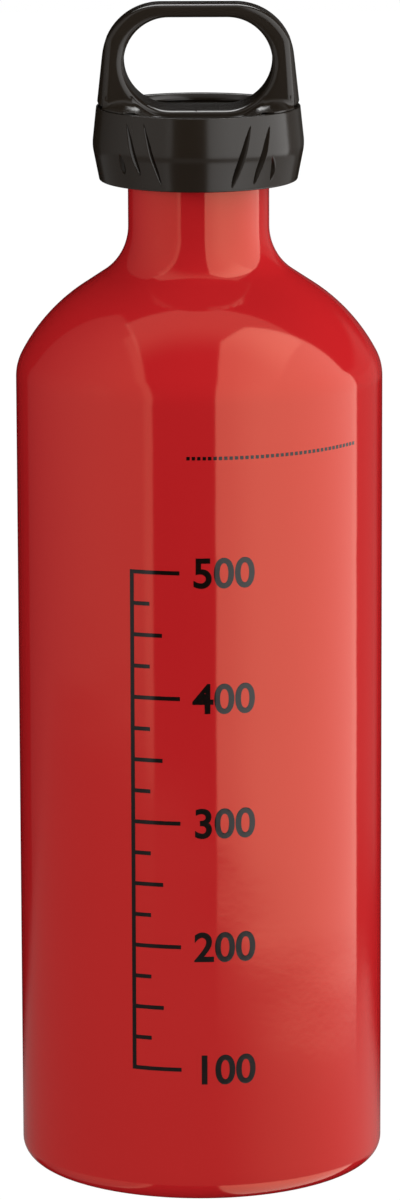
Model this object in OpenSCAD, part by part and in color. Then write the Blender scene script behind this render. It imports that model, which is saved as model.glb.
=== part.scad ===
// Camping fuel bottle: a drawn aluminium bottle with a screw plug, and a push-and-turn grip with a carry loop.
// Millimetres, +Z up, origin at the middle of the ring that the bottle stands on.

/* [Bottle body] */
// Outside diameter of the body
body_d = 73; // [68:0.5:90]
// Height of the straight wall, from the table to the start of the shoulder
body_h = 160.9; // [90:0.1:240]
// Thickness of the drawn wall
wall = 0.9; // [0.7:0.1:1.5]
// Thickness of the bottom
base_t = 1.6; // [1:0.1:3]
// Rounding between the bottom and the wall
base_round = 3.7; // [2.6:0.1:8]
// Width of the flat ring that the bottle stands on
foot_w = 5.8; // [3:0.1:12]
// Rise of the dished bottom at its middle
dish_rise = 2.5; // [1:0.1:5]

/* [Shoulder] */
// Radius of the bend that starts the shoulder
bend_r = 9.8; // [5:0.1:12]
// Lean of the wall where the bend ends, from upright
bend_lean = 27.5; // [20:0.5:35]
// Radius of the long curve of the shoulder
shoulder_r = 36; // [30:0.5:44]
// Lean of the shoulder at its steepest, from upright
shoulder_lean = 56.3; // [50:0.1:60]
// Radius of the hollow curve that runs up into the neck
hollow_r = 11.2; // [8:0.1:15]

/* [Neck and thread] */
// Outside diameter of the neck
neck_d = 28; // [27:0.1:31]
// Height of the straight neck, up to the lip
neck_h = 12.25; // [12:0.05:18]
// Length of the threaded wall inside the neck
bore_len = 11.8; // [11.5:0.1:13]
// Diameter of the neck's bore, at the bottom of the thread
bore_d = 24; // [23.4:0.1:24.4]
// Height of the slope that leads into the bore from inside the bottle
run_in = 1.2; // [0.8:0.1:2]
// Rise of the thread in one turn
pitch = 3; // [2.6:0.1:3.4]
// Height of the neck's thread ridge
thread_h = 1.1; // [0.8:0.05:1.2]
// Width of the ridge at its crest
crest_w = 0.8; // [0.6:0.05:1]
// Width of the ridge at its foot
ridge_w = 1.8; // [1.4:0.05:1.9]
// Turns of thread in the neck
neck_turns = 3; // [2:0.25:3.25]
// Turns of thread on the plug
plug_turns = 2.5; // [1.5:0.25:2.75]

/* [Seal] */
// Thickness of the round seal ring's cord
seal_cord = 2.3; // [1.8:0.1:2.4]
// Diameter of the seal's recess in the lip
recess_d = 25.2; // [25:0.1:26]
// Depth of that recess
recess_h = 2.5; // [2.5:0.1:3]
// Clearance all round the seal ring
seal_gap = 0.05; // [0.02:0.01:0.1]

/* [Plug] */
// Diameter of the plug's flange
flange_d = 34; // [32:0.1:36]
// Thickness of the flange
flange_t = 2.45; // [2:0.05:3.5]
// Length of the plug's stem below the lip
stem_h = 13.8; // [13:0.1:14.2]
// Diameter of the hollow under the plug
hollow_d = 16.8; // [12:0.1:17.5]
// Thickness of the web between that hollow and the spring's well
web_t = 2.5; // [1.5:0.1:4]
// Depth of the spring's well, from the top of the flange
well_h = 5.8; // [4:0.1:8]
// Number of teeth on the plug's crown
teeth = 12; // [12:12:24]
// Width of one tooth, as an angle
tooth_a = 13; // [9:0.5:13]
// Height of the teeth
tooth_h = 1.8; // [1.2:0.1:2.4]
// Inner diameter of the crown
crown_in_d = 23; // [21:0.1:25]
// Outer diameter of the crown
crown_out_d = 31.6; // [28:0.1:31.8]

/* [Spring] */
// Mean diameter of the coil
coil_d = 10.6; // [9.6:0.1:11.2]
// Diameter of the wire
wire_d = 0.9; // [0.6:0.05:1]
// Turns of the coil
coils = 5; // [4:1:5]
// Share by which the end turns close up
coil_close = 0.34; // [0:0.02:0.34]

/* [Grip collar] */
// Largest diameter of the collar, at its grip edge
collar_d = 42; // [41:0.1:48]
// Diameter at the collar's foot
collar_foot_d = 39.4; // [38:0.1:41.5]
// Diameter at the collar's top rim
collar_rim_d = 40.4; // [39.6:0.1:41.5]
// Height of the grip edge above the collar's foot
grip_edge_h = 7; // [4:0.1:9]
// Height of the skirt under the retaining ledge
skirt_h = 1.4; // [0.8:0.1:3]
// Thickness of the retaining ledge
ledge_t = 1.6; // [1:0.1:3]
// Height of the rim above the top disc
rim_h = 1.55; // [1.2:0.05:3]
// Rounding of the collar's foot
foot_round = 0.4; // [0.4:0.1:1.2]

/* [Carry loop and top disc] */
// Space between the plug's flange and the top disc
cap_rise = 5.5; // [5:0.1:8]
// Thickness of the top disc
disc_t = 2; // [1.5:0.1:3]
// Width of the seat that the disc rests on
seat_w = 0.7; // [0.6:0.05:0.9]
// Height of the loop above the disc
loop_h = 21.9; // [20:0.1:30]
// Outside width of the loop at its feet
loop_w = 40; // [38:0.1:40.4]
// Inward lean of the loop's sides
loop_lean = 6.3; // [0:0.1:8]
// Outer corner radius of the loop
loop_r = 11.7; // [8:0.1:13]
// Thickness of the loop's top bar
bar_t = 2.5; // [2:0.1:5]
// Depth of the top bar, front to back
bar_depth = 8; // [6:0.1:12]
// Depth of the loop at its feet, front to back
foot_depth = 14; // [10:0.1:18]
// Width of the eye at its widest
eye_w = 29.3; // [24:0.1:30]
// Height of the eye's widest place above the disc
eye_mid = 10.5; // [9:0.1:12]
// Height of the web that joins the loop's feet, above the disc
web_h = 1.3; // [0.6:0.1:2.5]
// Height to which the feet flare out to the front and back, above the disc
flare_h = 4.3; // [3:0.1:6]
// Depth of the flared feet, front to back
flare_depth = 29.2; // [20:0.1:30]
// How far from the middle the flares start
flare_x = 13; // [12:0.1:16]
// Gap between the loop's feet and the collar's rim
foot_gap = 0.6; // [0.4:0.05:2]
// Width of that gap, front to back
foot_gap_w = 10.4; // [6:0.1:13]
// Number of driving lugs under the disc
lugs = 6; // [6:6:12]
// Width of one lug, as an angle
lug_a = 11; // [8:0.5:12]
// Number of keys that lock the disc to the collar
keys = 6; // [3:1:8]
// Width of one key, as an angle
key_a = 7; // [5:0.5:9]
// Depth of the keys
key_h = 1.1; // [0.8:0.1:1.5]

/* [Clearances] */
// Between the plug's flange and the lip it closes on
seat_gap = 0.05; // [0.02:0.01:0.1]
// Between the two threads, across
thread_gap = 0.3; // [0.25:0.05:0.4]
// Between the two threads' flanks, along the axis
flank_gap = 0.2; // [0.15:0.05:0.25]
// Round the flange, where the collar turns on it
turn_gap = 0.3; // [0.2:0.05:0.5]
// Between the flange and the ledge that holds the collar on
ledge_gap = 0.1; // [0.05:0.05:0.3]
// Between the ledge and the neck
neck_gap = 0.6; // [0.4:0.1:1.2]
// Between the lugs and the tops of the teeth at rest
lug_gap = 0.3; // [0.2:0.05:0.5]
// Left under the lugs when the grip is pressed right down
press_gap = 0.2; // [0.1:0.05:0.4]
// Where the disc sits in the collar
fit_gap = 0.1; // [0.05:0.05:0.2]
// At each end of the spring
coil_gap = 0.1; // [0.05:0.05:0.3]
// Between the spring and the well or the boss that guides it
guide_gap = 0.5; // [0.4:0.05:0.8]

/* [Hidden] */
$fn = 96;

// Shoulder of the bottle: two bends, a straight slope and a hollow curve, each meeting the next without a kink
body_r = body_d / 2;
neck_r = neck_d / 2;
bend_c = [body_r - bend_r, body_h];
bend_end = bend_c + bend_r * lean_dir(bend_lean);
shoulder_c = bend_end - shoulder_r * lean_dir(bend_lean);
shoulder_end = shoulder_c + shoulder_r * lean_dir(shoulder_lean);
slope_end_r = neck_r + hollow_r * (1 - cos(shoulder_lean));
slope_h = (shoulder_end[0] - slope_end_r) / tan(shoulder_lean);
hollow_c = [neck_r + hollow_r, shoulder_end[1] + slope_h + hollow_r * sin(shoulder_lean)];

// Heights of the neck
neck_z = hollow_c[1];
lip_z = neck_z + neck_h;
recess_z = lip_z - recess_h;
bore_z = recess_z - bore_len;
bore_r = bore_d / 2;
recess_r = recess_d / 2;
lip_round = 0.4;
bore_chamfer = 0.5;

// How far a piece that is joined on or cut away reaches past the face it meets, and the steps of the rounded lines
overlap = 0.5;
round_steps = 6;
curve_steps = 8;
loop_steps = 12;

// Bottom of the bottle
dish_r = body_r - base_round - foot_w;
dish_sphere = (dish_r * dish_r + dish_rise * dish_rise) / (2 * dish_rise);
dish_a = asin(dish_r / dish_sphere);

// Threads: the plug's ridge lies midway between the turns of the neck's ridge
thread_steps = 32;
ridge_bury = 0.3;
ridge_edge = 0.01;
minor_r = bore_r - thread_h;
neck_thread_z = bore_z + (bore_len - neck_turns * pitch) / 2;
core_r = minor_r - thread_gap;
plug_crest_r = bore_r - thread_gap;
plug_thread_z = neck_thread_z + pitch / 2;

// Plug
seal_r = seal_cord / 2;
seal_ring_r = recess_r - seal_gap - seal_r;
seal_z = lip_z + seat_gap - seal_gap - seal_r;
groove_r = seal_ring_r - seal_r - seal_gap;
groove_z = seal_z - seal_r - seal_gap;
flange_r = flange_d / 2;
flange_z = lip_z + seat_gap;
flange_top = flange_z + flange_t;
stem_z = lip_z - stem_h;
stem_chamfer = 0.6;
well_r = coil_d / 2 + wire_d / 2 + guide_gap;
well_z = flange_top - well_h;
tooth_top = flange_top + tooth_h;

// Spring, between the floor of its well and the top disc
disc_z = flange_top + cap_rise;
disc_top = disc_z + disc_t;
wire_r = wire_d / 2;
coil_r = coil_d / 2;
coil_z = well_z + coil_gap + wire_r;
coil_h = disc_z - coil_gap - wire_r - coil_z;
curl_rings = 8;
wire_sides = 6;

// Collar
collar_bore_r = flange_r + turn_gap;
ledge_top = flange_z - ledge_gap;
ledge_z = ledge_top - ledge_t;
ledge_r = neck_r + neck_gap;
collar_z = ledge_z - skirt_h;
rim_z = disc_top + rim_h;
disc_r = collar_bore_r + seat_w;
socket_r = disc_r + fit_gap;
bead_r = disc_r - 0.3;
bead_z = disc_top + fit_gap / 2;
bead_slope = 0.1;
bead_h = 0.55;
rim_wall = 1.6;
rim_chamfer = 0.3;
ledge_lead = 0.6;
notch_play = 1;

// Disc, lugs and loop
lug_z = tooth_top + lug_gap;
boss_r = coil_r * cos(180 / curl_rings) - wire_r - guide_gap;
boss_h = 3;
key_z = disc_z - key_h;
loop_foot_z = rim_z + foot_gap;
flare_z = rim_z + fit_gap;
flare_top = disc_top + flare_h;
flare_edge = 0.3;
flare_inset = 0.1;
loop_top = disc_top + loop_h;
root_r = bead_r - fit_gap;
loop_bury = 1;
eye_z = disc_top + eye_mid;
eye_top_r = loop_h - bar_t - eye_mid;
press_travel = tooth_h + lug_gap - press_gap;

// Direction that a wall faces when it leans inwards by an angle from upright
function lean_dir(a) = [cos(a), sin(a)];

// Points along an arc, both ends included
function arc(c, r, from, to, steps) =
    [for (i = [0:steps]) c + r * lean_dir(from + (to - from) * i / steps)];

// A list of points in the opposite order
function reversed(points) = [for (i = [len(points) - 1:-1:0]) points[i]];

// An outline on the right of the middle, followed by its mirror image on the left
function both_sides(right) = concat(right, [for (p = reversed(right)) [-p[0], p[1]]]);

// Shoulder outline set in from the outside by inset, from the body up to a lean on the hollow curve
function shoulder_line(inset, last_lean) = concat(
    arc(bend_c, bend_r - inset, 0, bend_lean, round_steps),
    arc(shoulder_c, shoulder_r - inset, bend_lean, shoulder_lean, curve_steps),
    arc(hollow_c, -(hollow_r + inset), shoulder_lean, last_lean, curve_steps)
);

// Underside or floor of the dished bottom, from its edge to the middle, raised by lift
function dish_line(lift) =
    arc([0, dish_rise - dish_sphere + lift], dish_sphere, 90 - dish_a, 90, curve_steps);

// Rounded edge between the bottom and the wall, from the bottom up: r is its outer radius, z its height
function base_line(r, z, rounding) = arc([r - rounding, z + rounding], rounding, -90, 0, round_steps);

// Width of the neck's ridge at a radius, on the straight flanks of the thread
function neck_ridge(r) = crest_w + (ridge_w - crest_w) * (r - minor_r) / thread_h;

// Width of the plug's ridge at a radius: what the neck's ridge leaves free, less a gap at each flank
function plug_ridge(r) = pitch - neck_ridge(r) - 2 * flank_gap;

// Share of its full height that a ridge has at a step, rising over an eighth of a turn at each end
function ridge_share(i, n) = min(1, i / (thread_steps / 8), (n - i) / (thread_steps / 8));

// Flat list of triangles that joins rings of m points into a closed tube
function tube_faces(rings, m) = concat(
    [for (i = [0:rings - 2]) for (k = [0:m - 1])
        [i * m + k, (i + 1) * m + k, (i + 1) * m + (k + 1) % m]],
    [for (i = [0:rings - 2]) for (k = [0:m - 1])
        [i * m + k, (i + 1) * m + (k + 1) % m, i * m + (k + 1) % m]],
    [for (k = [1:m - 2]) [0, k, k + 1]],
    [for (k = [1:m - 2]) [(rings - 1) * m, (rings - 1) * m + k + 1, (rings - 1) * m + k]]
);

// Point of a helix at a radius, an angle and a height
function polar(r, a, z) = [r * cos(a), r * sin(a), z];

// One ridge of thread: root_r lies inside the wall that carries it, crest_r is its free edge.
// On a ridge that points outwards the section runs the other way round, so that its faces still look outwards.
module thread_ridge(root_r, root_w, crest_r, crest_width, start_z, turns) {
    n = ceil(turns * thread_steps);
    way = crest_r < root_r ? 1 : -1;
    points = [
        for (i = [0:n])
            let (
                a = i * 360 / thread_steps,
                z = start_z + pitch * i / thread_steps,
                r = root_r - way * ridge_edge + (crest_r - root_r) * ridge_share(i, n)
            )
            each [
                polar(root_r, a, z - way * root_w / 2),
                polar(r, a, z - way * crest_width / 2),
                polar(r, a, z + way * crest_width / 2),
                polar(root_r, a, z + way * root_w / 2)
            ]
    ];
    polyhedron(points = points, faces = tube_faces(n + 1, 4));
}

// Block bounded by two radii, two heights and an angle, centred on an angle
module sector(r_in, r_out, z_low, z_high, width_a, at_a) {
    rotate([0, 0, at_a - width_a / 2])
        rotate_extrude(angle = width_a)
            translate([r_in, z_low])
                square([r_out - r_in, z_high - z_low]);
}

module bottle_shell() {
    run_lean = asin((hollow_c[1] - (bore_z - run_in)) / (hollow_r + wall));
    color("crimson")
        union() {
            rotate_extrude()
                polygon(concat(
                    reversed(dish_line(0)),
                    base_line(body_r, 0, base_round),
                    shoulder_line(0, 0),
                    [
                        [neck_r, lip_z - lip_round],
                        [neck_r - lip_round, lip_z],
                        [recess_r + lip_round / 2, lip_z],
                        [recess_r, lip_z - lip_round / 2],
                        [recess_r, recess_z],
                        [bore_r + bore_chamfer / 2, recess_z],
                        [bore_r, recess_z - bore_chamfer],
                        [bore_r, bore_z]
                    ],
                    reversed(shoulder_line(wall, run_lean)),
                    reversed(base_line(body_r - wall, base_t, base_round - wall)),
                    dish_line(base_t)
                ));
            thread_ridge(
                bore_r + ridge_bury, neck_ridge(bore_r + ridge_bury),
                minor_r, crest_w, neck_thread_z, neck_turns
            );
        }
}

module lip_seal() {
    color("dimgray")
        rotate_extrude()
            translate([seal_ring_r, seal_z])
                circle(r = seal_r);
}

module threaded_plug() {
    color("darkslategray")
        union() {
            rotate_extrude()
                polygon([
                    [0, well_z - web_t],
                    [hollow_d / 2, well_z - web_t],
                    [hollow_d / 2, stem_z],
                    [core_r - stem_chamfer, stem_z],
                    [core_r, stem_z + stem_chamfer],
                    [core_r, groove_z],
                    [groove_r, groove_z],
                    [groove_r, flange_z],
                    [flange_r, flange_z],
                    [flange_r, flange_top],
                    [well_r, flange_top],
                    [well_r, well_z],
                    [0, well_z]
                ]);
            for (i = [0:teeth - 1])
                sector(
                    crown_in_d / 2, crown_out_d / 2, flange_top - overlap, tooth_top,
                    tooth_a, (i + 0.5) * 360 / teeth
                );
            thread_ridge(
                core_r - ridge_bury, plug_ridge(core_r - ridge_bury),
                plug_crest_r, plug_ridge(plug_crest_r), plug_thread_z, plug_turns
            );
        }
}

// Height of the coil's wire after a share u of its turns, with the end turns closer together
function coil_height(u) = coil_z + coil_h * (u - coil_close * sin(360 * u) / (2 * PI));

module return_spring() {
    n = coils * curl_rings;
    path = [for (i = [0:n]) polar(coil_r, i * 360 / curl_rings, coil_height(i / n))];
    points = [
        for (i = [0:n]) for (k = [0:wire_sides - 1])
            let (b = k * 360 / wire_sides)
            polar(coil_r + wire_r * cos(b), i * 360 / curl_rings, path[i][2] + wire_r * sin(b))
    ];
    least = min([
        for (i = [0:n - 4]) for (j = [i + 4:n]) norm(path[i] - path[j])
    ]) - wire_d;
    echo(least_gap_between_coils_mm = least);
    color("silver")
        polyhedron(points = points, faces = tube_faces(n + 1, wire_sides));
}

module grip_collar() {
    color("black")
        difference() {
            rotate_extrude()
                polygon(concat(
                    [[ledge_r, ledge_z], [ledge_r, ledge_top], [collar_bore_r, ledge_top]],
                    [[collar_bore_r, disc_z], [socket_r, disc_z], [socket_r, bead_z]],
                    [[bead_r, bead_z + bead_slope], [bead_r, disc_top + bead_h]],
                    [[collar_rim_d / 2 - rim_wall, rim_z], [collar_rim_d / 2 - rim_chamfer, rim_z]],
                    [[collar_rim_d / 2, rim_z - rim_chamfer], [collar_d / 2, collar_z + grip_edge_h]],
                    reversed(base_line(collar_foot_d / 2, collar_z, foot_round)),
                    [[collar_bore_r, collar_z], [collar_bore_r - ledge_lead, ledge_z]]
                ));
            for (i = [0:keys - 1])
                sector(
                    collar_bore_r - overlap, disc_r, key_z - fit_gap, disc_z + overlap,
                    key_a + notch_play, i * 360 / keys
                );
        }
}

// Outline of the loop in the XZ plane, without its eye
module loop_outline() {
    corner_z = loop_top - loop_r;
    tangent_z = corner_z + loop_r * sin(loop_lean);
    corner_x = loop_w / 2 - (tangent_z - loop_foot_z) * tan(loop_lean) - loop_r * cos(loop_lean);
    polygon(both_sides(concat(
        [[loop_w / 2, disc_top - loop_bury], [loop_w / 2, loop_foot_z]],
        arc([corner_x, corner_z], loop_r, loop_lean, 90, loop_steps)
    )));
}

// Eye of the loop: an upper and a lower half that share their widest place
module eye_outline() {
    eye_low_r = eye_mid - web_h;
    polygon(both_sides(concat(
        arc([eye_w / 2 - eye_low_r, eye_z], eye_low_r, -90, 0, loop_steps),
        arc([eye_w / 2 - eye_top_r, eye_z], eye_top_r, 0, 90, loop_steps)
    )));
}

module loop() {
    intersection() {
        rotate([90, 0, 0])
            linear_extrude(height = foot_depth + 2 * overlap, center = true)
                difference() {
                    loop_outline();
                    eye_outline();
                }
        rotate([90, 0, 90])
            linear_extrude(height = loop_w + 2 * overlap, center = true)
                polygon([
                    [-foot_depth / 2, disc_top - loop_bury],
                    [foot_depth / 2, disc_top - loop_bury],
                    [foot_depth / 2, loop_foot_z],
                    [bar_depth / 2, loop_top],
                    [-bar_depth / 2, loop_top],
                    [-foot_depth / 2, loop_foot_z]
                ]);
        rotate_extrude()
            polygon([
                [0, disc_top - loop_bury],
                [root_r, disc_top - loop_bury],
                [root_r, loop_foot_z],
                [loop_w / 2, loop_foot_z],
                [loop_w / 2 - (loop_top - loop_foot_z) * tan(loop_lean), loop_top],
                [0, loop_top]
            ]);
    }
}

// Front and back flares of the feet, which reach out over the collar's rim in a hollow curve and leave a gap under
// the feet at the sides
module foot_flares() {
    foot_y = foot_depth / 2 - overlap;
    reach = flare_depth / 2 - foot_y;
    rise = flare_top - flare_z - flare_edge;
    flare_r = loop_w / 2 - flare_inset;
    difference() {
        intersection() {
            rotate([90, 0, 90])
                linear_extrude(height = loop_w + 2 * overlap, center = true)
                    polygon(both_sides(concat(
                        [[flare_depth / 2, disc_z + overlap], [flare_depth / 2, flare_z + flare_edge]],
                        [for (i = [1:curve_steps])
                            [flare_depth / 2 - reach * i / curve_steps,
                             flare_z + flare_edge + rise * pow(i / curve_steps, 2)]]
                    )));
            rotate_extrude()
                polygon([
                    [0, disc_z + overlap],
                    [root_r - flare_inset, disc_z + overlap],
                    [root_r - flare_inset, flare_z],
                    [flare_r, flare_z],
                    [flare_r - (flare_top - flare_z) * tan(loop_lean), flare_top],
                    [0, flare_top]
                ]);
        }
        translate([-flare_x, -loop_w / 2, disc_z])
            cube([2 * flare_x, loop_w, flare_h + disc_t + overlap]);
        for (side = [0, 1])
            mirror([side, 0, 0])
                translate([root_r - overlap, -foot_gap_w / 2, disc_top])
                    cube([loop_w / 2 - root_r + 2 * overlap, foot_gap_w, loop_foot_z - disc_top]);
    }
}

module carry_handle() {
    color("#222222")
        union() {
            translate([0, 0, disc_z])
                cylinder(r = disc_r, h = disc_t);
            translate([0, 0, disc_z - boss_h])
                cylinder(r = boss_r, h = boss_h + overlap);
            for (i = [0:lugs - 1])
                sector(crown_in_d / 2, crown_out_d / 2, lug_z, disc_z + overlap, lug_a, i * 360 / lugs);
            for (i = [0:keys - 1])
                sector(
                    collar_bore_r + fit_gap, disc_r - fit_gap, key_z, disc_z + overlap,
                    key_a, i * 360 / keys
                );
            loop();
            foot_flares();
        }
}

echo(overall_height_mm = loop_top, press_travel_mm = press_travel);
echo(neck_z_mm = neck_z, lip_z_mm = lip_z, collar_z_mm = collar_z, disc_top_mm = disc_top);

bottle_shell();
lip_seal();
threaded_plug();
return_spring();
grip_collar();
carry_handle();
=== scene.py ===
"""A camping fuel bottle: red enamelled aluminium with a black push-and-turn cap and a carry loop.

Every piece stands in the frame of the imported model: +Z up, +X to the right of the photograph, -Y towards
its viewer. Sizes are kept in millimetres and turned to metres where a mesh is made.
"""
import logging
import math
from dataclasses import dataclass, field
from enum import Enum

import bmesh
import bpy
import numpy as np
from mathutils import Matrix, Vector


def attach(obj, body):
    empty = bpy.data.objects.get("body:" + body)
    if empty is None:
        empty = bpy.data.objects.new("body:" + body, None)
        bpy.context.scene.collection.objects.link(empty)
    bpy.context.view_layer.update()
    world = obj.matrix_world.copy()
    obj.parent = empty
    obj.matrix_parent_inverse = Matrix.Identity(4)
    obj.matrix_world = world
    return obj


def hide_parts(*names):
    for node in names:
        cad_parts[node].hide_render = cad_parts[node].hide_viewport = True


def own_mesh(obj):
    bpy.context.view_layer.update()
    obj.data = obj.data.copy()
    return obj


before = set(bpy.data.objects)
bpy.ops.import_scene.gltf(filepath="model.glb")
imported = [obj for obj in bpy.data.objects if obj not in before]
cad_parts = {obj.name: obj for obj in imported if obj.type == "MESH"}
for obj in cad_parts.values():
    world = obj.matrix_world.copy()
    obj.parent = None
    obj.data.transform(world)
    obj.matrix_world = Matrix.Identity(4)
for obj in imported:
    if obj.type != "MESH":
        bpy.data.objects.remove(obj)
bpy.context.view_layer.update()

LOG = logging.getLogger("fuel_bottle")
MM = 0.001
TURN = 2 * math.pi
Tree, Node, Socket = bpy.types.NodeTree, bpy.types.Node, bpy.types.NodeSocket
Material, Piece = bpy.types.Material, bpy.types.Object


class Slot(Enum):
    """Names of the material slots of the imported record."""

    ENAMEL = "red_enamel"
    SPRING = "spring_steel"
    CAP = "cap_plastic"


class Body(Enum):
    """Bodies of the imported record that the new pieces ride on."""

    BOTTLE = "bottle"
    SPRING = "spring"
    CAP = "outer_cap"


# Colour and node helpers


def linear(code: str) -> tuple[float, float, float, float]:
    """Turns an sRGB hex colour to linear light.

    Args:
        code: colour as "#rrggbb".

    Returns:
        Linear red, green, blue and an alpha of 1.
    """
    parts = [int(code[i : i + 2], 16) / 255 for i in (1, 3, 5)]
    red, green, blue = (p / 12.92 if p <= 0.04045 else ((p + 0.055) / 1.055) ** 2.4 for p in parts)
    return red, green, blue, 1.0


def add(tree: Tree, kind: str, inputs: dict | None = None, **settings: object) -> Node:
    """Adds a node with its settings and links.

    Args:
        tree: node tree of a material or world.
        kind: type of the node, without "ShaderNode" before it.
        inputs: value, or output socket to link from, by name or number of the input socket.
        settings: values of the node's own properties.

    Returns:
        The new node.
    """
    node = tree.nodes.new("ShaderNode" + kind)
    for name, value in settings.items():
        setattr(node, name, value)
    for key, value in (inputs or {}).items():
        if isinstance(value, Socket):
            tree.links.new(value, node.inputs[key])
        else:
            node.inputs[key].default_value = value
    return node


def new_material(name: str) -> tuple[Material, Tree]:
    """Makes an empty node material.

    Args:
        name: the finish, in a maker's words.

    Returns:
        The material and its node tree.
    """
    material = bpy.data.materials.new(name)
    material.use_nodes = True
    material.node_tree.nodes.clear()
    return material, material.node_tree


def noise(tree: Tree, place: Socket, scale: float, detail: float, roughness: float = 0.5) -> Socket:
    """Adds cloudy noise over a place.

    Args:
        tree: node tree.
        place: where it is looked up.
        scale: its fineness, per metre.
        detail: octaves of finer noise on it.
        roughness: share of each octave.

    Returns:
        Socket of the noise, from 0 to 1.
    """
    settings = {"Vector": place, "Scale": scale, "Detail": detail, "Roughness": roughness}
    return add(tree, "TexNoise", settings).outputs["Fac"]


def spread(tree: Tree, share: Socket, low: float, high: float) -> Socket:
    """Spreads a share of 0 to 1 evenly between two values."""
    return add(tree, "MapRange", {"Value": share, "To Min": low, "To Max": high}).outputs["Result"]


def mix(tree: Tree, share: Socket, first: str, second: str) -> Socket:
    """Mixes two hex colours: the first where the share is 0, the second where it is 1."""
    settings = {"Factor": share, "A": linear(first), "B": linear(second)}
    return add(tree, "Mix", settings, data_type="RGBA").outputs["Result"]


def bump(tree: Tree, height: Socket, strength: float, distance: float, **under: object) -> Socket:
    """Adds relief to the normal.

    Args:
        tree: node tree.
        height: the relief, from 0 to 1.
        strength: share of the relief that shows.
        distance: depth of the whole relief, in metres.
        under: Normal, the socket of a coarser relief below this one.

    Returns:
        Socket of the normal.
    """
    settings = {"Height": height, "Strength": strength, "Distance": distance, **under}
    return add(tree, "Bump", settings).outputs["Normal"]


def shade(tree: Tree, inputs: dict) -> None:
    """Ends a material: one surface shader with these inputs."""
    shader = add(tree, "BsdfPrincipled", inputs)
    add(tree, "OutputMaterial", {"Surface": shader.outputs["BSDF"]})


# Surfaces


def soften(corners: np.ndarray, reach: float, steps: int, closed: bool = False) -> np.ndarray:
    """Rounds the corners of a line of points.

    Each corner P becomes a short parabola from A to B, where A and B lie `reach` before and after P on its
    two sides: (1 - u)^2 A + 2 u (1 - u) P + u^2 B. The reach is at most 0.45 of either side.

    Args:
        corners: points of the line, (n, 2).
        reach: reach of the rounding at each corner.
        steps: points that stand for each corner.
        closed: whether the last point is joined to the first.

    Returns:
        Points of the rounded line; an open line keeps its two ends.
    """
    before, after = np.roll(corners, 1, axis=0) - corners, np.roll(corners, -1, axis=0) - corners
    size_before, size_after = np.linalg.norm(before, axis=1), np.linalg.norm(after, axis=1)
    back = np.minimum(reach, 0.45 * size_before)[:, None] * before / size_before[:, None]
    ahead = np.minimum(reach, 0.45 * size_after)[:, None] * after / size_after[:, None]
    u = np.linspace(0, 1, steps)[None, :, None]
    arcs = corners[:, None] + (1 - u) ** 2 * back[:, None] + u**2 * ahead[:, None]
    if closed:
        return arcs.reshape(-1, 2)
    return np.concatenate([corners[:1], arcs[1:-1].reshape(-1, 2), corners[-1:]])


def arc(centre: tuple[float, float], radius: float, start: float, end: float, steps: int) -> np.ndarray:
    """Points centre + radius (cos a, sin a), for a from start to end in degrees.

    Args:
        centre: middle of the arc.
        radius: its radius, negative for a hollow curve.
        start: first angle.
        end: last angle.
        steps: stretches between the points.

    Returns:
        Points, (steps + 1, 2).
    """
    a = np.radians(np.linspace(start, end, steps + 1))
    return np.array(centre) + radius * np.stack([np.cos(a), np.sin(a)], axis=1)


def line(start: tuple[float, float], end: tuple[float, float], steps: int) -> np.ndarray:
    """Points at even steps from start to end, both included."""
    t = np.linspace(0, 1, steps + 1)[:, None]
    return (1 - t) * np.array(start) + t * np.array(end)


def revolved(radius: np.ndarray, height: np.ndarray, angle: np.ndarray) -> np.ndarray:
    """Turns a profile about the Z axis: x = r cos a, y = r sin a, z = height, at each angle a.

    Args:
        radius: radius of each row, (rows, 1), or of each point, (rows, columns).
        height: height of each row or point, the same way.
        angle: angle of each column in radians, (columns,).

    Returns:
        Points, (rows, columns, 3).
    """
    return np.stack(np.broadcast_arrays(radius * np.cos(angle), radius * np.sin(angle), height), axis=-1)


def capped(grid: np.ndarray) -> np.ndarray:
    """Closes both ends of a tube of points, (around, along, 3), with a point in the middle of each."""
    ends = grid.mean(axis=0, keepdims=True)[:, [0, -1]].repeat(len(grid), axis=0)
    return np.concatenate([ends[:, :1], grid, ends[:, 1:]], axis=1)


def grid_faces(rows: int, columns: int, wrap_rows: bool, wrap_columns: bool) -> np.ndarray:
    """Corner numbers of the quads between neighbouring rows and columns of a grid.

    Args:
        rows: number of rows of points.
        columns: number of points in a row.
        wrap_rows: whether the last row is joined to the first.
        wrap_columns: whether the last column is joined to the first.

    Returns:
        Corner numbers, (quads, 4), row after row.
    """
    i = np.arange(rows if wrap_rows else rows - 1)[:, None]
    j = np.arange(columns if wrap_columns else columns - 1)[None, :]
    below, above = i * columns, (i + 1) % rows * columns
    right = (j + 1) % columns
    return np.stack([below + j, below + right, above + right, above + j], axis=-1).reshape(-1, 4)


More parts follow.
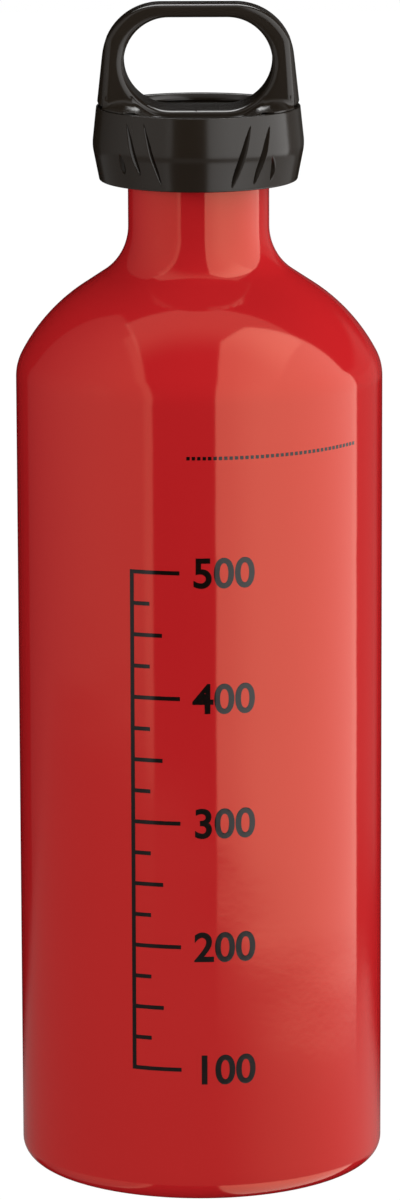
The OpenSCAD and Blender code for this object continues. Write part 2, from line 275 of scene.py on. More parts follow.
@dataclass
class Surface:
    """Grids of points, in millimetres, that make up one piece.

    The grids are gathered with join() and made one closed mesh with build().
    """

    name: str
    points: list[np.ndarray] = field(default_factory=list)
    faces: list[np.ndarray] = field(default_factory=list)
    finishes: list[np.ndarray] = field(default_factory=list)
    count: int = 0

    def join(
        self,
        grid: np.ndarray,
        wrap_rows: bool = False,
        wrap_columns: bool = False,
        finish: int | np.ndarray = 0,
    ) -> None:
        """Adds a grid.

        Args:
            grid: points, (rows, columns, 3).
            wrap_rows: whether the last row meets the first.
            wrap_columns: whether the last column meets the first.
            finish: number of the finish of all its faces, or one number for each row of faces.
        """
        rows, columns = grid.shape[:2]
        faces = grid_faces(rows, columns, wrap_rows, wrap_columns)
        per_row = columns if wrap_columns else columns - 1
        numbers = np.broadcast_to(np.atleast_1d(finish)[:, None], (len(faces) // per_row, per_row))
        self.points.append(grid.reshape(-1, 3) * MM)
        self.faces.append(faces + self.count)
        self.finishes.append(numbers.reshape(-1))
        self.count += rows * columns

    def build(self, materials: list[Material], sharp: float = 40.0) -> Piece:
        """Makes the mesh object: seams and poles are merged, and faces look outwards.

        Args:
            materials: finishes, in the order of their numbers.
            sharp: angle between faces, in degrees, from which an edge stays sharp.

        Returns:
            The object, at the origin.
        """
        mesh = bpy.data.meshes.new(self.name)
        mesh.from_pydata(np.concatenate(self.points).tolist(), [], np.concatenate(self.faces).tolist())
        mesh.polygons.foreach_set("material_index", np.concatenate(self.finishes).astype(np.int32))
        mesh.polygons.foreach_set("use_smooth", np.ones(len(mesh.polygons), dtype=bool))
        shape = bmesh.new()
        shape.from_mesh(mesh)
        bmesh.ops.remove_doubles(shape, verts=shape.verts, dist=1e-7)
        if shape.calc_volume(signed=True) < 0:
            bmesh.ops.reverse_faces(shape, faces=shape.faces)
        shape.to_mesh(mesh)
        shape.free()
        mesh.set_sharp_from_angle(angle=math.radians(sharp))
        for material in materials:
            mesh.materials.append(material)
        piece = bpy.data.objects.new(self.name, mesh)
        bpy.context.scene.collection.objects.link(piece)
        return piece


def report(piece: Piece) -> None:
    """Logs a finished piece with its size in faces."""
    LOG.info("%s: %d faces", piece.name, len(piece.data.polygons))


# Finishes


@dataclass(frozen=True)
class BakedEnamel:
    """Baked enamel over drawn aluminium: a deep red that mirrors the studio, with a faint waviness."""

    colour: str = "#cb2528"
    deep_colour: str = "#c42024"
    name: str = "red baked enamel"

    def material(self) -> Material:
        """Red coat with a hard gloss; a trace of metal shows through it and reddens its reflections."""
        material, tree = new_material(self.name)
        place = add(tree, "TexCoord").outputs["Object"]
        # thickness of the coat varies slowly, over about 60 mm
        tint = mix(tree, noise(tree, place, 16.0, 2.0), self.colour, self.deep_colour)
        # slow waves of about 25 mm in the drawn wall, and the orange peel of the baked coat, about 1.5 mm
        wavy = bump(tree, noise(tree, place, 40.0, 1.0), 0.25, 0.0004)
        skin = bump(tree, noise(tree, place, 650.0, 1.0), 0.1, 0.00003, Normal=wavy)
        shade(tree, {
            "Base Color": tint,
            "Metallic": 0.1,
            "Roughness": 0.07,
            "IOR": 1.56,
            "Specular Tint": (1.0, 1.0, 0.62, 1.0),
            "Normal": skin,
        })
        return material


@dataclass(frozen=True)
class TurnedAluminium:
    """Bare aluminium inside the bottle: pale grey metal with fine rings left by turning and drawing."""

    colour: str = "#d9dadb"
    ring_mm: float = 0.4
    name: str = "bare turned aluminium"

    def material(self) -> Material:
        """Satin metal whose rings lie level round the axis, each ring_mm high, coarse enough to show."""
        material, tree = new_material(self.name)
        place = add(tree, "TexCoord").outputs["Object"]
        settings = {"Vector": place, "Scale": 1 / (20 * self.ring_mm * MM), "Distortion": 0.6}
        rings = add(tree, "TexWave", settings, bands_direction="Z").outputs["Fac"]
        shade(tree, {
            "Base Color": linear(self.colour),
            "Metallic": 1.0,
            "Roughness": spread(tree, noise(tree, place, 120.0, 3.0), 0.26, 0.42),
            "Normal": bump(tree, rings, 0.15, 0.00005),
        })
        return material


@dataclass(frozen=True)
class MouldedPlastic:
    """Injection-moulded plastic: near black, with the grain of a spark-eroded mould or a polished face."""

    name: str
    colour: str = "#251f19"
    roughness: float = 0.32
    grain_mm: float = 0.5
    grain_depth: float = 0.06

    def material(self) -> Material:
        """Dark plastic; its grain is drawn grain_mm wide, coarser than the real one, so that it shows."""
        material, tree = new_material(self.name)
        place = add(tree, "TexCoord").outputs["Object"]
        grain = noise(tree, place, 1 / (self.grain_mm * MM), 2.0, 0.6)
        # the mould's polish varies over some 8 mm
        polish = noise(tree, place, 120.0, 2.0)
        shade(tree, {
            "Base Color": linear(self.colour),
            "Roughness": spread(tree, polish, self.roughness * 0.85, self.roughness * 1.15),
            "IOR": 1.46,
            "Normal": bump(tree, grain, self.grain_depth, 0.0001),
        })
        return material


@dataclass(frozen=True)
class NitrileRubber:
    """Moulded nitrile rubber: matt black with a faint bloom."""

    colour: str = "#141414"
    bloom: str = "#242322"
    name: str = "black nitrile rubber"

    def material(self) -> Material:
        """Matt rubber, its bloom in patches of about 2 mm."""
        material, tree = new_material(self.name)
        patches = noise(tree, add(tree, "TexCoord").outputs["Object"], 500.0, 3.0)
        shade(tree, {
            "Base Color": mix(tree, patches, self.colour, self.bloom),
            "Roughness": 0.7,
            "IOR": 1.52,
            "Normal": bump(tree, patches, 0.1, 0.00005),
        })
        return material


@dataclass(frozen=True)
class DrawnSteelWire:
    """Drawn stainless spring wire: bright grey metal with fine die lines."""

    colour: str = "#b9b6af"
    name: str = "drawn spring wire"

    def material(self) -> Material:
        """Bright wire with streaks of about 0.3 mm."""
        material, tree = new_material(self.name)
        streaks = noise(tree, add(tree, "TexCoord").outputs["Object"], 3300.0, 1.0)
        shade(tree, {
            "Base Color": linear(self.colour),
            "Metallic": 1.0,
            "Roughness": spread(tree, streaks, 0.18, 0.34),
        })
        return material


@dataclass(frozen=True)
class ScreenInk:
    """Screen-printed ink, baked with the enamel: a warm black with the coat's gloss and slight pinholes."""

    colour: str = "#0f0b09"
    thin_colour: str = "#2a100d"
    name: str = "black screen ink"

    def material(self) -> Material:
        """Glossy black, thinner in spots of about 0.4 mm where the mesh of the screen printed lightly."""
        material, tree = new_material(self.name)
        spots = noise(tree, add(tree, "TexCoord").outputs["Object"], 2500.0, 2.0)
        thin = add(tree, "MapRange", {"Value": spots, "From Min": 0.55, "From Max": 0.8}).outputs["Result"]
        tint = mix(tree, thin, self.colour, self.thin_colour)
        shade(tree, {"Base Color": tint, "Roughness": 0.1, "IOR": 1.5})
        return material


# The bottle


@dataclass
class Bottle:
    """One-piece bottle of drawn aluminium: dished bottom, wall, shoulder, and neck with its inside thread."""

    body_radius: float = 36.5
    body_height: float = 160.9
    wall: float = 0.9
    bottom: float = 1.6
    base_round: float = 3.7
    foot_width: float = 5.8
    dish_rise: float = 2.5
    bend_radius: float = 9.8
    bend_lean: float = 27.5
    shoulder_radius: float = 36.0
    shoulder_lean: float = 56.3
    hollow_radius: float = 11.2
    neck_radius: float = 14.0
    neck_height: float = 12.25
    lip_round: float = 0.4
    recess_radius: float = 12.6
    recess_depth: float = 2.5
    bore_radius: float = 12.0
    bore_length: float = 11.8
    run_in: float = 1.2
    pitch: float = 3.0
    thread_height: float = 1.1
    crest_width: float = 0.8
    ridge_width: float = 1.8
    thread_turns: float = 3.0
    columns: int = 240

    def shoulder(self, inset: float, last_lean: float) -> np.ndarray:
        """Shoulder line: two bulging arcs, a straight slope and a hollow arc, joined without a kink.

        Args:
            inset: how far inside the outer line it runs.
            last_lean: lean at which the hollow arc ends, in degrees.

        Returns:
            Points of (radius, height), from the wall up.
        """
        bend, lean = math.radians(self.bend_lean), math.radians(self.shoulder_lean)
        centre = np.array([self.body_radius - self.bend_radius, self.body_height])
        step = (self.bend_radius - self.shoulder_radius) * np.array([math.cos(bend), math.sin(bend)])
        long_centre = centre + step
        top = long_centre + self.shoulder_radius * np.array([math.cos(lean), math.sin(lean)])
        slope_end = self.neck_radius + self.hollow_radius * (1 - math.cos(lean))
        slope_rise = (top[0] - slope_end) / math.tan(lean)
        hollow_z = top[1] + slope_rise + self.hollow_radius * math.sin(lean)
        hollow_centre = (self.neck_radius + self.hollow_radius, hollow_z)
        return np.concatenate([
            arc(centre, self.bend_radius - inset, 0, self.bend_lean, 14),
            arc(long_centre, self.shoulder_radius - inset, self.bend_lean, self.shoulder_lean, 24)[1:],
            arc(hollow_centre, -(self.hollow_radius + inset), self.shoulder_lean, last_lean, 24),
        ])

    def dish(self) -> tuple[float, float, float]:
        """The dished underside: radius of its edge, radius of its sphere and half its angle in degrees."""
        edge = self.body_radius - self.base_round - self.foot_width
        sphere = (edge**2 + self.dish_rise**2) / (2 * self.dish_rise)
        return edge, sphere, math.degrees(math.asin(edge / sphere))

    def outside(self) -> np.ndarray:
        """Outer profile, from the middle of the dished underside to the crest of the lip."""
        dish_edge, sphere, half = self.dish()
        underside = arc((0, self.dish_rise - sphere), sphere, 90, 90 - half, 12)
        corner = (self.body_radius - self.base_round, self.base_round)
        shoulder = self.shoulder(0, 0)
        lip = shoulder[-1, 1] + self.neck_height
        return np.concatenate([
            underside,
            line((dish_edge + 0.6, 0), (corner[0] - 0.6, 0), 3),
            arc(corner, self.base_round, -90, 0, 10),
            line((self.body_radius, self.base_round + 2), (self.body_radius, self.body_height - 0.5), 16),
            shoulder,
            line((self.neck_radius, shoulder[-1, 1] + 1), (self.neck_radius, lip - self.lip_round - 0.2), 6),
            arc((self.neck_radius - self.lip_round, lip - self.lip_round), self.lip_round, 0, 90, 4),
        ])

    def inside(self, lip: float) -> tuple[np.ndarray, np.ndarray]:
        """Inner profile, from the lip down the recess, bore and shoulder to the middle of the floor.

        Args:
            lip: height of the lip.

        Returns:
            Points of (radius, height), and which of them carry the thread.
        """
        recess = lip - self.recess_depth
        bore_low = recess - self.bore_length
        hollow_z = lip - self.neck_height
        fall = hollow_z - (bore_low - self.run_in)
        run_lean = math.degrees(math.asin(fall / (self.hollow_radius + self.wall)))
        _, sphere, half = self.dish()
        inner, rounding = self.body_radius - self.wall, self.base_round - self.wall
        rim = soften(np.array([
            [self.neck_radius - self.lip_round - 0.1, lip],
            [self.recess_radius + 0.2, lip],
            [self.recess_radius, lip - 0.2],
            [self.recess_radius, recess],
            [self.bore_radius + 0.25, recess],
            [self.bore_radius, recess - 0.5],
        ]), 0.1, 3)
        bore = line((self.bore_radius, recess - 0.6), (self.bore_radius, bore_low), 104)
        below = np.concatenate([
            self.shoulder(self.wall, run_lean)[::-1],
            arc((inner - rounding, self.bottom + rounding), rounding, 0, -90, 8),
            arc((0, self.dish_rise - sphere + self.bottom), sphere, 90 - half, 90, 12),
        ])
        marks = np.concatenate([np.zeros(len(rim)), np.ones(len(bore)), np.zeros(len(below))])
        return np.concatenate([rim, bore, below]), marks

    def thread(self, height: np.ndarray, angle: np.ndarray, start: float) -> np.ndarray:
        """Height of the thread ridge over the bore.

        The ridge winds up by the pitch in each turn. Its section is a trapezoid: full height within half the
        crest width of its middle, and none beyond half the ridge width. It rises over an eighth of a turn at
        each end.

        Args:
            height: height of each row, (rows, 1).
            angle: angle of each column, (columns,).
            start: height at which the ridge starts.

        Returns:
            Ridge height, (rows, columns).
        """
        turn = angle[None, None, :] / TURN + np.arange(int(self.thread_turns) + 1)[:, None, None]
        off = np.abs(height[None] - (start + self.pitch * turn))
        flank = np.clip((self.ridge_width / 2 - off) / ((self.ridge_width - self.crest_width) / 2), 0, 1)
        share = np.clip(np.minimum(turn, self.thread_turns - turn) * 8, 0, 1)
        return self.thread_height * (flank * share).max(axis=0)

    def make(self, enamel: Material, bare: Material) -> Piece:
        """Builds the bottle, enamelled outside and bare from the lip inwards.

        Args:
            enamel: finish of the outside.
            bare: finish of the inside.

        Returns:
            The finished piece.
        """
        outside = self.outside()
        lip = outside[-1, 1]
        inside, threaded = self.inside(lip)
        profile = np.concatenate([outside, inside])
        carries = np.concatenate([np.zeros(len(outside)), threaded])[:, None]
        angle = np.linspace(0, TURN, self.columns, endpoint=False)
        height = profile[:, 1, None]
        bore_low = lip - self.recess_depth - self.bore_length
        start = bore_low + (self.bore_length - self.thread_turns * self.pitch) / 2
        radius = profile[:, 0, None] - carries * self.thread(height, angle, start)
        number = (np.arange(len(profile) - 1) >= len(outside) - 3).astype(int)
        surface = Surface("bottle_body")
        surface.join(revolved(radius, height, angle), wrap_columns=True, finish=number)
        piece = surface.build([enamel, bare])
        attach(piece, Body.BOTTLE.value)
        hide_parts("bottle_shell")
        return piece


# The print on the body


@dataclass
class BodyPrint:
    """Black print on the front: the dashed line of the highest filling and a plain scale of the volume."""

    radius: float = 36.5
    rise: float = 0.04
    depth: float = 0.03
    fill_height: float = 150.75
    inner_radius: float = 35.6
    fill_volume: float = 590.6
    fill_start: float = -4.0
    fill_span: float = 61.0
    volumes: tuple[int, ...] = (100, 200, 300, 400, 500)
    dash_count: int = 37
    dash_width: float = 0.68
    dash_share: float = 0.62
    scale_left: float = -14.0
    number_left: float = -1.5
    number_height: float = 6.0
    line_width: float = 0.8

    def height_of(self, volume: float) -> float:
        """Height at which the bottle holds a volume in mL, reckoned down from the fill line."""
        return self.fill_height - (self.fill_volume - volume) * 1000 / (math.pi * self.inner_radius**2)

    def wrapped(self, across: np.ndarray, height: np.ndarray, lift: float) -> np.ndarray:
        """Lays flat points on the wall: angle = across / radius from the front, at radius + lift.

        Args:
            across: distance to the right of the front, along the wall.
            height: height above the table.
            lift: height over the enamel.

        Returns:
            Points with x, y, z as the last axis.
        """
        a = across / self.radius
        r = self.radius + lift
        return np.stack([r * np.sin(a), -r * np.cos(a), height], axis=-1)

    def patch(self, surface: Surface, left: float, right: float, low: np.ndarray, high: np.ndarray) -> None:
        """Adds a closed thin patch of ink between two heights, which may change from left to right.

        Args:
            surface: the surface that gathers the patches.
            left: left end, along the wall.
            right: right end.
            low: lower edge at even steps from left to right.
            high: upper edge at the same steps.
        """
        across = np.linspace(left, right, len(low))
        under, over = self.rise - self.depth, self.rise
        edges = [(low, under), (low, over), (high, over), (high, under)]
        ring = np.stack([self.wrapped(across, height, lift) for height, lift in edges])
        surface.join(capped(ring), wrap_rows=True)

    def bar(self, surface: Surface, left: float, right: float, height: float, width: float) -> None:
        """Adds a level bar of ink, with a step about every millimetre."""
        steps = np.full(max(2, int(abs(right - left)) + 2), height)
        self.patch(surface, left, right, steps - width / 2, steps + width / 2)

    def fill_line(self, ink: Material) -> Piece:
        """Dashed line that marks the highest filling, from just left of the front round to the right."""
        surface = Surface("fill_line_print")
        pitch = math.radians(self.fill_span) * self.radius / self.dash_count
        start = math.radians(self.fill_start) * self.radius
        for i in range(self.dash_count):
            left = start + i * pitch
            self.bar(surface, left, left + pitch * self.dash_share, self.fill_height, self.dash_width)
        return self.dress(surface.build([ink]))

    def scale(self, ink: Material) -> Piece:
        """Scale of the volume: an upright line with a tick for every 25, longer at fifties and hundreds."""
        surface = Surface("volume_scale_print")
        left = self.scale_left
        low, high = (self.height_of(v) for v in (self.volumes[0], self.volumes[-1]))
        self.bar(surface, left, left + self.line_width, (low + high) / 2, high - low + self.line_width)
        for volume in range(self.volumes[0], self.volumes[-1] + 1, 25):
            length = 10.0 if volume % 100 == 0 else 6.5 if volume % 50 == 0 else 4.0
            root = left + self.line_width * 0.8
            self.bar(surface, root, left + length, self.height_of(volume), self.line_width)
        return self.dress(surface.build([ink]))

    def number(self, volume: int, ink: Material) -> Piece:
        """Prints one plain number beside its tick.

        Args:
            volume: the number.
            ink: finish of the print.

        Returns:
            The finished piece.
        """
        curve = bpy.data.curves.new("number_%d" % volume, "FONT")
        curve.body = str(volume)
        # a font's size is 1.38 times the height of its figures; the offset makes the strokes heavier
        curve.size = self.number_height * 1.38
        curve.offset = 0.16
        curve.extrude = self.depth / 2
        curve.align_y = "CENTER"
        text = bpy.data.objects.new("number_%d" % volume, curve)
        bpy.context.scene.collection.objects.link(text)
        bpy.context.view_layer.update()
        mesh = bpy.data.meshes.new_from_object(text.evaluated_get(bpy.context.evaluated_depsgraph_get()))
        bpy.data.objects.remove(text)
        shape = bmesh.new()
        shape.from_mesh(mesh)
        bmesh.ops.remove_doubles(shape, verts=shape.verts, dist=1e-4)
        reach = max(v.co.x for v in shape.verts)
        # a cut every millimetre lets the flat figures follow the round wall
        for cut in np.arange(0.5, reach, 1.0):
            parts = shape.verts[:] + shape.edges[:] + shape.faces[:]
            bmesh.ops.bisect_plane(shape, geom=parts, plane_co=(cut, 0, 0), plane_no=(1, 0, 0))
        shape.to_mesh(mesh)
        shape.free()
        flat = np.empty(len(mesh.vertices) * 3)
        mesh.vertices.foreach_get("co", flat)
        flat = flat.reshape(-1, 3)
        middle = (flat[:, 1].max() + flat[:, 1].min()) / 2
        height = self.height_of(volume) + flat[:, 1] - middle
        lift = self.rise - self.depth / 2 + flat[:, 2]
        across = self.number_left + flat[:, 0]
        mesh.vertices.foreach_set("co", (self.wrapped(across, height, lift) * MM).ravel())
        mesh.update()
        mesh.materials.append(ink)
        piece = bpy.data.objects.new("number_%d_print" % volume, mesh)
        bpy.context.scene.collection.objects.link(piece)
        return self.dress(piece)

    def dress(self, piece: Piece) -> Piece:
        """Makes a piece of print ride on the bottle."""
        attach(piece, Body.BOTTLE.value)
        return piece

    def make(self, ink: Material) -> list[Piece]:
        """Builds the whole print."""
        return [self.fill_line(ink), self.scale(ink), *(self.number(v, ink) for v in self.volumes)]


# The cap


@dataclass
class ReturnSpring:
    """Coil spring of steel wire in the plug's well."""

    coil_radius: float = 5.3
    wire_radius: float = 0.45
    coils: int = 5
    low: float = 200.538
    high: float = 210.738
    close_up: float = 0.34
    keep: float = 0.829

    def make(self, steel: Material) -> Piece:
        """Sweeps the wire along its helix, whose end turns lie closer together.

        The height is low + h (u - c sin(2 pi u) / 2 pi) after a share u of the turns. The section turns about
        the helix with the radial direction and the one square to it and to the wire. The ends are rounded.
        """
        u = np.linspace(0, 1, self.coils * 40 + 1)
        a = TURN * self.coils * u
        rise = self.high - self.low
        z = self.low + rise * (u - self.close_up * np.sin(TURN * u) / TURN)
        slope = rise * (1 - self.close_up * np.cos(TURN * u)) / (TURN * self.coils)
        lean = np.arctan2(slope, self.coil_radius)
        b = np.linspace(0, TURN, 12, endpoint=False)[:, None]
        ends = np.concatenate([[0.0, 0.6, 0.9], np.ones(len(u)), [0.9, 0.6, 0.0]])
        reach = np.concatenate([[-1.0, -0.8, -0.45], np.zeros(len(u)), [0.45, 0.8, 1.0]]) * self.wire_radius
        a, z, lean = (np.pad(v, 3, mode="edge") for v in (a, z, lean))
        out = self.wire_radius * ends * np.cos(b)
        up = self.wire_radius * ends * np.sin(b)
        radial = np.stack([np.cos(a), np.sin(a)])
        along = np.stack([-np.sin(a), np.cos(a)])
        flat = radial * self.coil_radius + along * (reach * np.cos(lean))
        xy = flat[:, None] + radial[:, None] * out - along[:, None] * (up * np.sin(lean))
        height = z + reach * np.sin(lean) + up * np.cos(lean)
        surface = Surface("coil_spring")
        surface.join(np.stack([xy[0], xy[1], height], axis=-1), wrap_rows=True)
        piece = surface.build([steel])
        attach(piece, Body.SPRING.value)
        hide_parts("return_spring")
        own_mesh(piece)
        return piece


@dataclass(frozen=True)
class Slash:
    """One slanting groove in the grip: a lens from a top to a bottom point, in degrees and millimetres."""

    top: tuple[float, float]
    bottom: tuple[float, float]
    half_width: float
    bow: float = 0.0


@dataclass
class GripCollar:
    """Grip ring of the cap: a double cone with slanting grooves, a ledge inside and a seat for the disc."""

    foot_radius: float = 19.7
    foot_round: float = 0.4
    grip_radius: float = 21.0
    rim_radius: float = 20.2
    low: float = 200.238
    grip_height: float = 207.238
    high: float = 214.838
    rim_wall: float = 1.6
    bore_radius: float = 17.3
    ledge_radius: float = 14.6
    ledge_low: float = 201.638
    ledge_high: float = 203.238
    seat: float = 211.288
    disc_top: float = 213.288
    socket_radius: float = 18.1
    bead_radius: float = 17.7
    key_low: float = 210.088
    key_radius: float = 18.0
    key_angle: float = 8.0
    keys: int = 6
    keel: float = 0.45
    steepness: float = 1.8
    slashes: tuple[Slash, ...] = (
        Slash((-32.0, 213.7), (-21.4, 201.6), 0.45, 0.1),
        Slash((-43.8, 213.3), (-34.2, 203.3), 0.68, 0.1),
        Slash((-47.6, 207.1), (-46.0, 203.2), 0.75, 0.1),
        Slash((30.2, 213.2), (19.2, 201.2), 0.72, -0.1),
        Slash((43.2, 212.8), (33.0, 201.6), 0.78, -0.1),
        Slash((43.6, 206.9), (45.0, 201.9), 0.62, 0.5),
    )

    def profile(self) -> tuple[np.ndarray, np.ndarray]:
        """Closed section of the ring, and the same section where a key's notch cuts into the seat."""
        foot = self.foot_radius - self.foot_round
        outer = np.concatenate([
            [[self.bore_radius, self.low], [foot, self.low]],
            arc((foot, self.low + self.foot_round), self.foot_round, -75, -15, 4),
        ])
        skirt = soften(np.array([
            [self.foot_radius, self.low + self.foot_round],
            [self.grip_radius, self.grip_height],
            [self.rim_radius, self.high - 0.1],
        ]), 1.3, 9)
        spaced = np.linspace(0, 1, 64)
        at = np.concatenate([[0], np.cumsum(np.linalg.norm(np.diff(skirt, axis=0), axis=1))])
        skirt = np.stack([np.interp(spaced * at[-1], at, skirt[:, k]) for k in (0, 1)], axis=1)
        rim = soften(np.array([
            skirt[-1],
            [self.rim_radius - 0.05, self.high],
            [self.rim_radius - self.rim_wall, self.high],
            [self.bead_radius, self.disc_top + 0.55],
            [self.bead_radius, self.disc_top + 0.15],
            [self.socket_radius, self.disc_top + 0.05],
        ]), 0.22, 4)[1:]
        seat = np.array([
            [self.socket_radius, self.seat],
            [self.key_radius, self.seat],
            [self.key_radius, self.seat],
            [self.bore_radius, self.seat],
        ])
        notch = np.array([
            [self.socket_radius, self.seat],
            [self.key_radius, self.seat],
            [self.key_radius, self.key_low],
            [self.bore_radius, self.key_low],
        ])
        inside = np.array([
            [self.bore_radius, self.ledge_high],
            [self.ledge_radius, self.ledge_high],
            [self.ledge_radius, self.ledge_low],
            [self.bore_radius - 0.6, self.ledge_low],
        ])
        plain = np.concatenate([outer, skirt, rim, seat, inside])
        return plain, np.concatenate([outer, skirt, rim, notch, inside])

    def columns(self) -> np.ndarray:
        """Angles of the columns from the front: close together at the grooves and doubled at the notches."""
        coarse = np.arange(0, 360, 2.0)
        fine = np.arange(17, 50, 0.25)
        groups = [fine, 360 - fine, 180 + fine, 180 - fine]
        edge = np.arange(self.keys)[:, None] * 360 / self.keys + self.key_angle / 2 * np.array([-1, 1])
        doubled = np.concatenate([edge - 0.01, edge + 0.01]).ravel() + 90
        return np.unique(np.round(np.concatenate([coarse, *groups, doubled % 360]), 3))

    def groove(self, angle: np.ndarray, radius: np.ndarray, height: np.ndarray) -> np.ndarray:
        """Depth of the grooves at points of the outer face.

        At a share t from the groove's top to its bottom the middle lies on the line between them, bowed
        sideways by bow 4 t (1 - t), and the half width is w sqrt(sin(pi t^1.25)). Across it the flank on the
        side away from the front is long and even, and the other is short and steep: the depth rises evenly to
        the keel, which lies at a share `keel` of the half width towards the front, and falls to nothing at
        both sides.

        Args:
            angle: angle from the front in degrees, (columns,).
            radius: radius of the face, (rows, 1).
            height: height of the face, (rows, 1).

        Returns:
            Depth, (rows, columns).
        """
        depth = np.zeros(np.broadcast_shapes(angle.shape, radius.shape))
        near = (angle + 90) % 180 - 90
        for slash in self.slashes:
            t = (slash.top[1] - height) / (slash.top[1] - slash.bottom[1])
            swell = np.sqrt(np.maximum(np.sin(np.pi * np.clip(t, 0, 1) ** 1.25), 0))
            middle = slash.top[0] + (slash.bottom[0] - slash.top[0]) * t
            aside = np.radians(near - middle) * radius - slash.bow * 4 * t * (1 - t)
            across = np.sign(slash.top[0]) * aside / np.maximum(slash.half_width * swell, 1e-6)
            flanks = np.minimum((1 + across) / (1 - self.keel), (1 - across) / (1 + self.keel))
            depth = np.maximum(depth, self.steepness * slash.half_width * swell * np.clip(flanks, 0, 1))
        return depth

    def make(self, plastic: Material) -> Piece:
        """Builds the ring: a closed section turned about the axis, its outer face pushed in at grooves."""
        plain, notched = self.profile()
        angle = self.columns()
        away = np.abs((angle - 90 + 180 / self.keys) % (360 / self.keys) - 180 / self.keys)
        cut = (away < self.key_angle / 2)[None, :]
        radius = np.where(cut, notched[:, 0, None], plain[:, 0, None])
        height = np.where(cut, notched[:, 1, None], plain[:, 1, None])
        outer = plain[:, 0, None] > self.foot_radius - 0.1
        depth = self.groove(angle, plain[:, 0, None], plain[:, 1, None])
        radius = radius - np.where(outer, depth, 0)
        surface = Surface("grip_ring")
        surface.join(revolved(radius, height, np.radians(angle - 90)), wrap_rows=True, wrap_columns=True)
        piece = surface.build([plastic], sharp=32)
        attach(piece, Body.CAP.value)
        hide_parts("grip_collar")
        return piece


